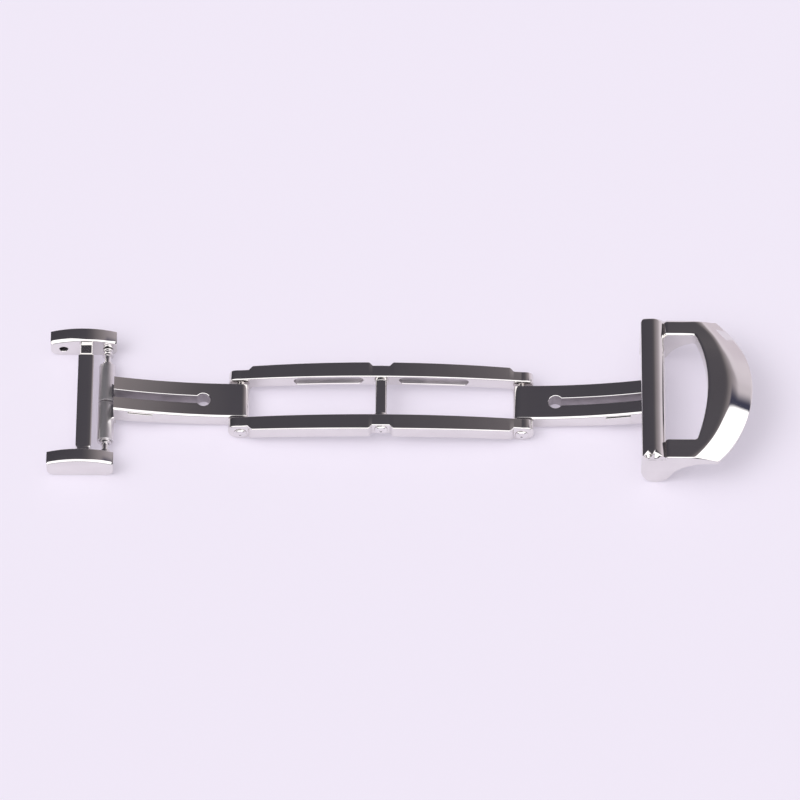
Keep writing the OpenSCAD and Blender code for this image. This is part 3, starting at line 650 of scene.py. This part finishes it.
cheekShape = {
    "crownRadius": 9.5, "foot": 1.0, "lowerEdge": 0.08, "backEdge": 0.06,
    # Bevels that face front, by the place along the cheek, on the front cheek and on the back one
    "outerFront": [(-4, 0.27), (4, 0.27)],
    "innerFront": [(-3.9, 0.42), (-1.5, 0.38), (0.2, 0.18), (2.8, 0.18), (3.9, 0.3)],
    "strapHole": 0.525, "strapHoleBack": 5.2, "strapHoleZ": 1.4, "barHole": 0.45, "holeDepth": 1.0,
    "lip": 0.04, "lining": 0.012,
}


# A cheek: an arched top, flat foot and rounded lower corners, carried across its thickness with bevels.
# Its inner face has two blind, lipped holes, whose dull lining is a piece of its own, tinted dark as painted
# shade inside the holes.
def cheek(name, side):
    shape = SimpleNamespace(**cheekShape)
    low, high = nodeBox("cheek_back")
    middle, crown = (low[0] + high[0]) / 2, high[2]
    halfLength, cr, foot = (high[0] - low[0]) / 2, shape.crownRadius, shape.foot
    x = np.linspace(-halfLength, halfLength, 61)
    roof = np.stack([x, arcHeight(crown, cr, x)], 1)
    right = arc((halfLength - foot, foot), foot, 0, -90, 14)
    left = arc((foot - halfLength, foot), foot, -90, -180, 14)
    wall = np.linspace(roof[0, 1], foot, 6)[1:-1]
    outline = np.concatenate([roof, np.stack([halfLength + 0 * wall, wall], 1), right, left,
                              np.stack([-halfLength + 0 * wall, wall[::-1]], 1)])
    out = leftOf(outline, True)
    places, widths = np.array(shape.innerFront if side > 0 else shape.outerFront).T
    upward = smoothStep(out[:, 1], 0.2, 0.8)
    front = shape.lowerEdge + (np.interp(outline[:, 0], places, widths) - shape.lowerEdge) * upward
    front, back = front[:, None], edgeWidths(out, shape.lowerEdge, shape.backEdge)
    inner, outer = low[1], high[1]
    rim = bevelled(outline, out, inner, outer, *(front, back)[::side])
    skin = Skin(f"{name}_skin", 1, side, middle)
    skin.grid(rim, ring=True)
    skin.cap(rim[:, -1])
    # The holes' lining, tinted dark: painted shade inside the holes
    lining = Skin(f"{name}_holes", 1, side, middle)
    loops = [rim[:, 0]]
    barAt = leftBar[0] - middle
    a = np.linspace(0, 2 * math.pi, 48, endpoint=False)[:, None]

    # Rings about a hole's middle, each of its own radius and depth
    def cup(hx, hz, radii, depths):
        r, y = np.array(radii)[None, :], inner + np.array(depths)[None, :]
        return np.stack([hx + r * np.cos(a), y + 0 * a, hz + r * np.sin(a)], -1)

    for hx, hz, hr in ((barAt, leftBar[2], shape.barHole),
                       (barAt - shape.strapHoleBack, shape.strapHoleZ, shape.strapHole)):
        lip, deep, thin = shape.lip, shape.holeDepth, shape.lining
        hole = cup(hx, hz, [hr + lip, hr, hr, 0], [0, lip, deep, deep])
        skin.grid(hole, ring=True)
        loops.append(hole[:, 0])
        cupped = cup(hx, hz, [hr + thin, hr - thin, hr - thin, 0, 0, hr + thin, hr + thin],
                     [lip, lip, deep - thin, deep - thin, deep + thin, deep + thin, lip])
        lining.grid(cupped, ring=True)
    skin.cap(*loops)
    skin.build("bracket", "polishedSteel", [name])
    lining.build("bracket", "boredSteelPaintedShade", [])


cheek("cheek_back", 1)
cheek("cheek_front", -1)

stayShape = {
    "width": 1.8, "depth": 1.35, "bevel": 0.2, "bevelDepth": 0.5,
    "neckWidth": 1.4, "neckLength": 1.0, "neckDrop": 0.1, "neckBevel": 0.6, "endGap": 0.01,
    "shoulder": 0.22, "shoulderFoot": 0.35,  # its length, and how far it has grown at its narrow end
}


# The flat bar between the cheeks: an eight-sided section carried along Y, which steps down over a short
# slanted shoulder to a narrower neck at each end
def stay():
    shape = SimpleNamespace(**stayShape)
    high, centre = nodeBox("bracket_stay")[1], middleOf("bracket_stay")
    reach = nodeBox("cheek_back")[0][1] - shape.endGap
    body, slant = reach - shape.neckLength, shape.shoulder
    places = np.array([body - slant, body, body + slant / 2, reach])
    y = np.concatenate([-places[::-1], places])[:, None]
    grown = [1, shape.shoulderFoot, 0, 0]
    full = np.array(grown[::-1] + grown)[:, None]
    w = (shape.neckWidth + (shape.width - shape.neckWidth) * full) / 2
    h = shape.depth / 2 - shape.neckDrop * (1 - full)
    b = shape.bevel * (shape.neckBevel + (1 - shape.neckBevel) * full)
    corners = cutCorners(w, h, b, b * shape.bevelDepth)
    bar = np.stack([np.concatenate([cx + 0 * y, y, cz + 0 * y], 1) for cx, cz in corners + corners[:1]], 1)
    skin = Skin("bracket_stay_skin", 1, 1, centre[0], high[2] - shape.depth / 2)
    skin.bar(bar)
    skin.build("bracket", "polishedSteel", ["bracket_stay"])


stay()

buckleShape = {
    "wall": 2.3, "headWidth": 2.8, "headDepth": 1.95, "headTop": 6.25,
    "crownRight": (1.75, 0.7), "crownLeft": (6.0, 0.25),  # radii of the head bar's crown and its corner
    # How the head bar's ends are cut: the drop, the width across and how much wider it is at two peaks
    "backEnd": (0.22, 0.18, 0), "frontEnd": (0.7, 0.14, 0.74),
    "peakMiddle": -0.28, "peakPlace": 0.37, "peakLeft": 0.6, "peakRight": 0.85, "frontCorner": 0.42,
    "roundLeft": 0.4, "roundRight": 1.2, "roundDepth": 0.4,
    "cutRows": [(-2, 10), (-10, 2), (0, 22)],  # rows over which that cut begins, turns down and ends
    "legStart": 1.24, "legTop": 6.0, "legBlend": 0.9, "legUnder": 4.4, "underBlend": 0.4, "legCorner": 0.45,
    "valley": 5.2, "valleySoft": 0.04, "valleyInner": 0.02, "valleyOuter": 0.03,
    "crown": 7.49, "loopDepth": 2.1, "domeRadius": 19.0, "tipBack": 0.22,
    "opening": 4.96, "bow": 1.3, "innerCorner": 0.5, "outerCorner": 0.3, "loopRadius": 12.4,
    "ridgeRadius": 11.35, "ridgeBack": 2.3, "ridgeSoft": 1.5, "facetSlope": 0.52,
    # Near the leg, which begins at these widths: how soft the ridge is, and how much further out
    "nearLeg": (2.0, 7.5), "frontRidge": (0.7, 0.0), "backRidge": (1.2, 0.5),
    "lobe": 1.72, "sweep": 4.4, "lowerEdge": 0.06, "tipInner": 0.13, "tipOuter": 0.06,
    "backInner": 0.3, "backOuter": 0.42, "frontInner": 0.07, "frontOuter": 0.12,  # bevels along the legs
    "straight": 3.4,  # from the spring bar to where the loop's curve begins
}


# The buckle, in two halves. Wall and leg are a side view carried across the wall's thickness. From there
# sections run round the loop, from the opening's edge to the outer edge; above, their height is that of a
# dome, less a facet's fall beyond a ridge.
def buckle():
    shape = SimpleNamespace(**buckleShape)
    low, high = nodeBox("buckle_frame")
    barX = rightBar[0]
    frontX, endX, halfWidth = low[0], high[0] - shape.tipBack, high[1]
    innerY = halfWidth - shape.wall
    joinX, legFrom = barX + shape.straight, barX + shape.legStart

    # Height of the dome, an arc about X, with the flat legs at its sides
    def domeHeight(y):
        dome = arcHeight(shape.crown, shape.domeRadius, y)
        return -softMin(-dome, 0 * y - shape.legTop, shape.legBlend)

    # Past a circle seen from above, the facet falls away from the dome; the bend is a parabola, narrower
    # or wider towards the leg than in the middle
    def topHeight(x, y, legRidge):
        nearLeg = smoothStep(y, *shape.nearLeg)
        soft = shape.ridgeSoft + (legRidge[0] - shape.ridgeSoft) * nearLeg
        past = np.hypot(x - barX + shape.ridgeBack, y) - shape.ridgeRadius - legRidge[1] * nearLeg
        bend = np.clip(past + soft / 2, 0, soft) ** 2 / (2 * soft) + np.maximum(past - soft / 2, 0)
        return domeHeight(y) - shape.facetSlope * bend

    underCrown = shape.crown - shape.loopDepth
    underR = arcRadius(innerY, underCrown - shape.legUnder)
    lobeX, lobeR = frontX + shape.lobe, shape.lobe
    sweepZ = shape.legUnder - shape.sweep
    sweepX = lobeX + math.sqrt((lobeR + shape.sweep) ** 2 - (lobeR - sweepZ) ** 2)

    # Height of the underside: an arc about X over the opening, and the lobe's sweep, an arc about Y, under
    # the walls
    def underHeight(x, y):
        sweep = sweepZ + np.sqrt(shape.sweep ** 2 - np.minimum(x - sweepX, 0) ** 2)
        dome = arcHeight(underCrown, underR, np.minimum(np.abs(y), innerY))
        return dome + (sweep - dome) * smoothStep(np.abs(y), innerY - shape.underBlend, innerY)

    # Plan of an edge from the straight leg to the tip: a line, a corner's arc and a wide arc whose crown is
    # at crownX
    legSteps, cornerSteps, loopSteps = 14, 9, 60

    def planOf(edgeY, crownX, radius, corner):
        cornerY, loopX = edgeY - corner, crownX - radius
        cornerX = loopX + math.sqrt((radius - corner) ** 2 - cornerY**2)
        turn = math.degrees(math.atan2(cornerY, cornerX - loopX))
        legX = np.linspace(joinX, cornerX, legSteps)
        return np.concatenate([np.stack([legX, edgeY + 0 * legX], 1),
                               arc((cornerX, cornerY), corner, 90, turn, cornerSteps)[1:],
                               arc((loopX, 0), radius, turn, 0, loopSteps)[1:]])

    bowR = arcRadius(innerY, shape.bow)
    inner = planOf(innerY, legFrom + shape.opening, bowR, shape.innerCorner)
    outer = planOf(halfWidth, endX, shape.loopRadius, shape.outerCorner)
    reach = np.linalg.norm(outer - inner, axis=1)[:, None]
    toward = (outer - inner) / reach
    tip = smoothStep(np.arange(len(inner)), 0.6 * legSteps, legSteps + cornerSteps)[:, None]

    # Columns across a section with a bevel of a given width along each edge: distances from the inner edge
    spacing = np.linspace(0, 1, 26)

    def columnsFor(width, innerCut, outerCut):
        begin, end = cutReach * innerCut, width - cutReach * outerCut
        return np.concatenate([softCut[:-1, 0] * innerCut, begin + (end - begin) * spacing,
                               width - softCut[-2::-1, 0] * outerCut], 1)

    # and steps down from the face
    def cutsFor(innerCut, outerCut):
        return np.concatenate([softCut[:-1, 1] * innerCut, 0 * innerCut * spacing,
                               softCut[-2::-1, 1] * outerCut], 1)

    # Section of the head bar's top, from its right side over the crown to its front: two crown arcs that
    # meet at the top, each tangent to a rounded corner
    headHalf = shape.headWidth / 2
    headX = frontX + headHalf
    headLine, cornerZ = [], []
    for (r, c), way in ((shape.crownRight, 1), (shape.crownLeft, -1)):
        cx = headHalf - c
        cz = shape.headTop - r + math.sqrt((r - c) ** 2 - cx**2)
        meet = math.degrees(math.acos(cx / (r - c)))
        corner = arc((cx, cz), c, 0, meet, 14)
        crown = arc((0, shape.headTop - r), r, meet, 90, 16)[1:]
        line = np.concatenate([corner, crown]) * (way, 1) + (headX, 0)
        headLine.append(line if way > 0 else line[-2::-1])
        cornerZ.append(cz)
    head = np.concatenate(headLine)

    # Side view of the straight part: leg, valley, head, front, lobe and sweep
    cornerRows, barRows = 6, 5  # around the leg's corner, and down the head bar's front
    valley, soft = shape.valley, shape.valleySoft
    headRight, underZ = frontX + shape.headWidth, shape.headTop - shape.headDepth
    legX = np.linspace(joinX, legFrom + shape.legCorner, 18)
    leg = np.stack([legX, domeHeight(innerY + 0.5 * shape.wall + 0 * legX)], 1)
    legZ, cornerUnder = leg[0, 1], leg[-1, 1] - shape.legCorner
    shoulder = np.concatenate([
        arc((legX[-1], cornerUnder), shape.legCorner, 90, 180, cornerRows)[1:],
        arc((legFrom - soft, valley + soft), soft, 0, -90, 5),
        arc((headRight + soft, valley + soft), soft, -90, -180, 5),
        np.stack([headRight + np.zeros(3), np.linspace(valley + soft, cornerZ[0], 5)[1:-1]], 1)])
    frontZ = np.concatenate([np.linspace(cornerZ[1], underZ, barRows + 1)[1:],
                             np.linspace(underZ, lobeR, 7)[1:-1]])
    front = np.stack([frontX + 0 * frontZ, frontZ], 1)
    joinTurn = math.degrees(math.atan2(lobeR - sweepZ, sweepX - lobeX))
    lobe = arc((lobeX, lobeR), lobeR, 180, 360 - joinTurn, 48)
    endTurn = math.degrees(math.acos((joinX - sweepX) / shape.sweep))
    sweep = arc((sweepX, sweepZ), shape.sweep, 180 - joinTurn, endTurn, 16)[1:]
    parts = [leg, shoulder, head, front, lobe, sweep]
    outline = np.concatenate(parts)
    ends = np.cumsum([len(part) for part in parts])
    out = -leftOf(outline, False)
    out[0], out[-1] = (0, 1), out[-2]
    out[ends[1] : ends[2]] = -leftOf(head, False)
    out[ends[1]], out[ends[2] - 1] = (1, 0), (-1, 0)

    # The head bar's end is cut in two peaks: tents over the places to either side of their middle
    index, ex = np.arange(len(outline)), outline[:, 0] - headX
    fromMiddle = ex - shape.peakMiddle
    fromPeak = np.abs(fromMiddle) - shape.peakPlace
    outward = np.where(fromMiddle > 0, shape.peakRight, shape.peakLeft)
    peaks = np.clip(1 - np.abs(fromPeak) / np.where(fromPeak > 0, outward, shape.peakPlace), 0, 1)
    onHead, onFront, onLobe = (smoothStep(index, ends[k + 1] + first, ends[k + 1] + last)
                               for k, (first, last) in enumerate(shape.cutRows))
    offLobe = 1 - onLobe
    onLeg, isHead, isUnderBar = index < ends[0] + cornerRows, index >= ends[1], index >= ends[2] + barRows
    onEnd = onHead * isHead * (offLobe > 0)
    fade = smoothStep(outline[:, 1], valley + soft, cornerUnder) * onLeg
    rise = np.clip((outline[:, 1:] - valley) / (legZ - valley), 0, 1)
    raised = slice(0, ends[0] + cornerRows + 2)  # rows that follow the dome's slope across

    # The head bar between the walls
    y = np.linspace(0, innerY, 5)[None, :]
    barRing = np.concatenate([head, front[:barRows], [(headRight, underZ)], head[:1]])
    bar = np.stack([barRing[:, :1] + 0 * y, y + 0 * barRing[:, :1], barRing[:, 1:] + 0 * y], -1)

    skin = Skin("buckle_frame_skin")
    for half, word in ((1, "back"), (-1, "front")):
        skin.half = half
        legInner, legOuter, end, legRidge = (
            buckleShape[word + part] for part in ("Inner", "Outer", "End", "Ridge"))
        innerCut = legInner + (shape.tipInner - legInner) * tip
        outerCut = legOuter + (shape.tipOuter - legOuter) * tip
        place = columnsFor(reach, innerCut, outerCut)
        upX, upY = (inner[:, k, None] + toward[:, k, None] * place for k in range(2))
        above = np.stack([upX, upY, topHeight(upX, upY, legRidge) - cutsFor(innerCut, outerCut)], -1)
        lowCut = shape.lowerEdge + 0 * reach
        place = columnsFor(reach, lowCut, lowCut)
        downX, downY = (inner[:, k, None] + toward[:, k, None] * place for k in range(2))
        below = np.stack([downX, downY, underHeight(downX, downY) + cutsFor(lowCut, lowCut)], -1)
        skin.grid(above)
        skin.grid(below)
        skin.grid(np.stack([above[:, -1], below[:, -1]], 1))
        skin.grid(np.stack([above[:, 0], below[:, 0]], 1))

        # The end's cut, wider at the peaks or rounded towards the bar's sides, in place of a plain bevel
        def endCut(cut):
            turned = (cut + (shape.frontCorner - cut) * onFront) * offLobe
            return np.maximum(plain + (turned - plain) * onEnd, plain)[:, None]

        drop, cross, peak = end
        turnedIn = np.where(ex > 0, shape.roundRight, shape.roundLeft)
        rounded = np.clip((np.abs(ex) - headHalf) / turnedIn + 1, 0, 1) ** 2 * (half > 0)
        legCut = shape.valleyOuter + (legOuter - shape.valleyOuter) * fade
        plain = np.where(isHead, shape.lowerEdge, legCut)
        outerCross = endCut(cross + peak * peaks + shape.roundDepth * rounded)
        innerCut = np.where(onLeg, shape.valleyInner + (legInner - shape.valleyInner) * fade,
                            np.where(isUnderBar, shape.lowerEdge, 0))[:, None]
        across = innerY + columnsFor(shape.wall, innerCut, outerCross)
        rim = carried(outline, out, across, cutsFor(innerCut, endCut(drop)))
        rim[raised, :, 2] += ((domeHeight(across) - legZ) * rise)[raised]
        rim[0], rim[-1] = above[0], below[0]
        skin.grid(rim)
        skin.cap(rim[:, -1])
        # The wall's inner face is one polygon, so large that the bevels round it don't bend its shading
        face = np.concatenate([rim[: ends[1] + 1, 0], [(headRight, innerY, underZ)],
                               rim[ends[2] + barRows - 1 :, 0]])
        skin.add(face, np.arange(len(face))[None])
        skin.grid(bar)
    skin.build("buckle", "polishedSteel", ["buckle_frame"], sharp=38)


buckle()

for name in ("left_bar_spring", "right_bar_spring"):
    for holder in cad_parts[name].material_slots:
        holder.material = steels["springWire"]

studio = {
    "floorColour": (0.91, 0.845, 0.967), "floorGrain": 9.0, "floorDull": (0.985, 0.985, 0.99),
    "floorSize": 3.0,
    # What polished faces mirror overhead, by how far a direction leans to the side, in degrees
    "room": [(-90, (0.05, 0.047, 0.057)), (-20, (0.07, 0.065, 0.078)), (0, (0.078, 0.072, 0.086)),
             (7, (0.104, 0.095, 0.106)), (10.5, (0.132, 0.118, 0.13)), (14, (0.166, 0.149, 0.16)),
             (18, (0.2, 0.179, 0.19)), (22, (0.236, 0.21, 0.22)), (28, (0.285, 0.253, 0.27)),
             (38, (0.36, 0.32, 0.345)), (46, (0.435, 0.39, 0.42)), (52, (0.54, 0.49, 0.525)),
             (55, (0.64, 0.58, 0.625)), (62, (0.73, 0.66, 0.72)), (90, (0.8, 0.73, 0.79))],
    "roomLean": 0.5,  # how much further aside a direction counts that tilts far towards the back
    # The white begins at one tilt straight ahead and at another towards the right; a dark strip borders it
    "frontWhite": (1.5, 1.47, 1.5), "whiteTilt": (-35, 6), "whiteAside": (4, 32), "whiteSoft": 3,
    "strip": (0.058, 0.058, 0.095), "stripAside": (24, 32), "stripReach": (8, 30),
    "backPale": (0.71, 0.63, 0.7), "backTilt": (62, 80), "backAside": (-55, -40),
    "gap": (0.03, 0.027, 0.035), "gapTilt": (-74, -80),  # dark below the white, down to the floor's far edge
    "ambient": 0.32, "lampPower": 12.0,
    "lamps": [((-0.56, -0.16, 0.81), 4.6), ((0.1, -0.1, 0.99), 0.9)],  # soft lamps, left and overhead
    "glow": 0.34, "glowColour": (0.89, 0.83, 0.948), "mirroredGlow": (0.78, 0.73, 0.81),
    "elevation": 61.0, "azimuth": -0.2, "roll": 0.2, "distance": 760.0, "lens": 292.0, "sensor": 36.0,
    "target": (-0.1, 1.45, 0.0),
}


# A sheet of white paper. What the camera sees of it, straight or mirrored, is partly its own glow, which
# thins the shadows on it.
def studioFloor():
    material, s, output = newMaterial("floorPaper")
    place = s.node("ShaderNodeTexCoord", output=3)
    grain = noise(s, place, studio["floorGrain"], 1.0)
    dull = [colour * share for colour, share in zip(studio["floorColour"], studio["floorDull"])]
    paper = s.node("ShaderNodeBsdfDiffuse", inputs={"Color": mixed(s, grain, studio["floorColour"], dull)})
    isCamera = s.node("ShaderNodeLightPath", output="Is Camera Ray")
    isGlossy = s.node("ShaderNodeLightPath", output="Is Glossy Ray")
    glow = s.node("ShaderNodeEmission", inputs={
        "Color": mixed(s, isGlossy, studio["glowColour"], studio["mirroredGlow"]), "Strength": 1.0})
    shader = s.node("ShaderNodeMixShader", inputs={
        0: (isCamera + isGlossy) * studio["glow"], 1: paper, 2: glow})
    material.node_tree.links.new(shader.socket, output.inputs["Surface"])
    h = studio["floorSize"] / 2
    mesh = bpy.data.meshes.new("floor")
    mesh.from_pydata([(-h, -h, 0), (h, -h, 0), (h, h, 0), (-h, h, 0)], [], [(0, 1, 2, 3)])
    mesh.materials.append(material)
    floor = bpy.data.objects.new("floor", mesh)
    bpy.context.scene.collection.objects.link(floor)


# Even light on everything matt, with one soft lamp from the left and one overhead. Polished steel mirrors
# a room instead: dark overhead, paler towards the right, with a white wall low in front and a pale one low
# behind. Each direction is measured by how far it leans aside and how far it tilts towards the back.
def studioWorld():
    world = bpy.data.worlds.new("studio")
    bpy.context.scene.world = world
    world.use_nodes = True
    tree = world.node_tree
    tree.nodes.clear()
    s, output = Shade(tree), tree.nodes.new("ShaderNodeOutputWorld")
    way = s.node("ShaderNodeTexCoord", output=0)
    x, y, z = (s.node("ShaderNodeSeparateXYZ", inputs={"Vector": way}, output=k) for k in range(3))
    degree = math.degrees(1)
    aside, tilt = s.maths("ARCTAN2", x, z) * degree, s.maths("ARCTAN2", y, z) * degree
    lowered = z - s.maths("MAXIMUM", y - z, 0.0) * studio["roomLean"]
    stops = [(angle / 180 + 0.5, colour) for angle, colour in studio["room"]]
    room = s.node("ShaderNodeValToRGB", {"stops": stops},
                  {"Fac": s.maths("ARCTAN2", x, lowered) * (degree / 180) + 0.5})

    # Goes smoothly from 0 at low to 1 at high
    def step(value, low, high):
        return s.node("ShaderNodeMapRange", {"interpolation_type": "SMOOTHSTEP"},
                      {"Value": value, "From Min": low, "From Max": high})

    ahead, toSide = studio["whiteTilt"]
    over = tilt - ahead - step(aside, *studio["whiteAside"]) * (toSide - ahead)
    strip = step(aside, *studio["stripAside"]) * (1 - step(over, *studio["stripReach"]))
    seen = mixed(s, strip, room, studio["strip"])
    seen = mixed(s, step(over, studio["whiteSoft"], -studio["whiteSoft"]), seen, studio["frontWhite"])
    behind = step(s.maths("ARCTAN2", x, y) * degree, *studio["backAside"])
    seen = mixed(s, step(tilt, *studio["backTilt"]) * behind, seen, studio["backPale"])
    seen = mixed(s, step(tilt, *studio["gapTilt"]), seen, studio["gap"])
    matt = studio["ambient"]
    for lampWay, strength in studio["lamps"]:
        facing = s.node("ShaderNodeVectorMath", {"operation": "DOT_PRODUCT"}, {0: way, 1: lampWay}, output=1)
        matt = s.maths("MAXIMUM", facing, 0.0) ** studio["lampPower"] * strength + matt
    isGlossy = s.node("ShaderNodeLightPath", output="Is Glossy Ray")
    light = s.node("ShaderNodeBackground", inputs={
        "Color": mixed(s, isGlossy, (1, 1, 1), seen), "Strength": matt + isGlossy * (1 - matt)})
    tree.links.new(light.socket, output.inputs["Surface"])


# A long lens that looks along +Y and down, as the photograph was taken
def studioCamera():
    data = bpy.data.cameras.new("camera")
    data.sensor_width, data.lens = studio["sensor"], studio["lens"]
    data.clip_start, data.clip_end = 0.05, 10  # metres
    camera = bpy.data.objects.new("camera", data)
    bpy.context.scene.collection.objects.link(camera)
    e, a = math.radians(studio["elevation"]), math.radians(studio["azimuth"])
    ahead = Vector((math.sin(a) * math.cos(e), math.cos(a) * math.cos(e), -math.sin(e)))
    turn = ahead.to_track_quat("-Z", "Y").to_matrix().to_4x4()
    roll = Matrix.Rotation(math.radians(studio["roll"]), 4, "Z")
    place = (Vector(studio["target"]) - ahead * studio["distance"]) * mm
    camera.matrix_world = Matrix.Translation(place) @ turn @ roll
    bpy.context.scene.camera = camera


studioFloor()
studioWorld()
studioCamera()
bpy.context.scene.view_settings.view_transform = "Standard"
print("studio: floor, world and camera")
